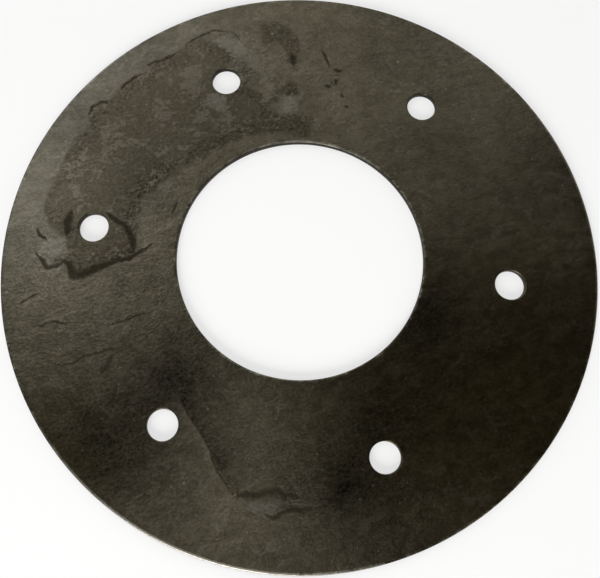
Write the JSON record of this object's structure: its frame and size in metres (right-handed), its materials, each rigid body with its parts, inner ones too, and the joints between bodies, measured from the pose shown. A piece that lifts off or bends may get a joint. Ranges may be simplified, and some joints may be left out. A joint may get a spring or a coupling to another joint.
{
  "type": "motor mounting bracket",
  "caption": "Flat ring-shaped steel plate with a wide central bore for a motor's spigot and a circle of bolt holes that fix the motor to a frame.",
  "frame": {"origin": "where the axis of the central bore meets the underside, the face that the plate lies on", "axes": "+Z is the bore's axis, from the underside up to the top face; +X runs from the bore's axis through the first bolt hole; +Y passes midway between two bolt holes"},
  "size_m": [0.24, 0.24, 0.0025],
  "materials": {
    "scaled_steel": "hot-rolled sheet steel with its dark grey-brown mill scale left on, satin, unpainted, with deburred cut edges"
  },
  "bodies": {
    "root": {"mounting_plate": "scaled_steel"}
  },
  "joints": []
}
